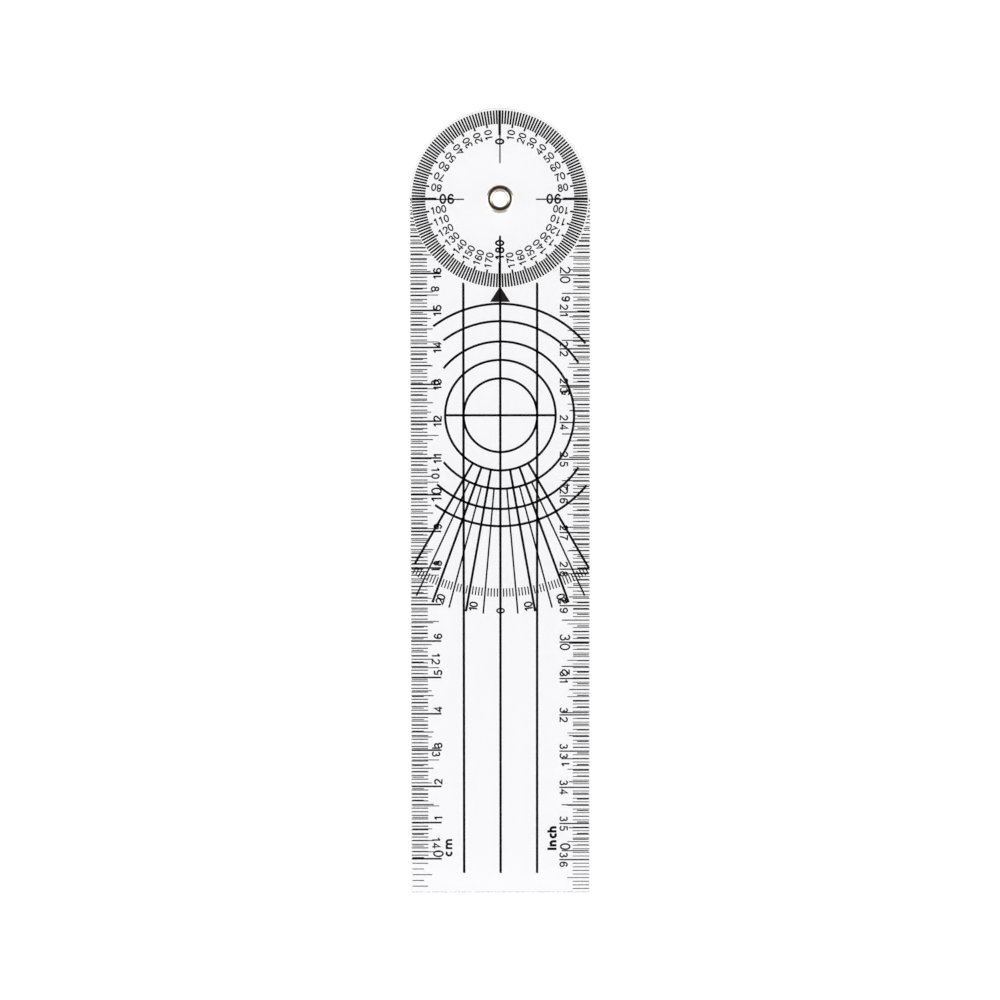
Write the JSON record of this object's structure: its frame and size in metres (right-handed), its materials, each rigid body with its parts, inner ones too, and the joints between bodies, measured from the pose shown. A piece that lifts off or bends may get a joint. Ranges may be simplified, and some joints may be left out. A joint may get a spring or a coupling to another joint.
{
  "type": "goniometer",
  "caption": "Folding clear plastic two-arm goniometer: ruled arms with round heads, one with a full-circle dial, turning about a hollow metal eyelet.",
  "frame": {"origin": "middle of the folded length and width, on the plane that the eyelet's back curl rests on", "axes": "+Y along the arms towards the round heads and the pivot, +Z out of the dial face, +X to the right as the dial is looked at"},
  "size_m": [0.049, 0.2138, 0.0041],
  "materials": {
    "clear_plastic": "clear, glossy, black print",
    "nickel": "polished nickel plate",
    "print": "screen-printed black ink"
  },
  "bodies": {
    "dial_arm": {"front_arm": "clear_plastic", "pivot_eyelet": "nickel", "eyelet_washer": "nickel"},
    "pointer_arm": {"rear_arm": "clear_plastic"}
  },
  "joints": [
    {"name": "arm_pivot", "type": "hinge", "parent": "dial_arm", "child": "pointer_arm", "pos_m": [0, 0.08245, 0.0016], "axis": [0, 0, 1], "continuous": true}
  ]
}
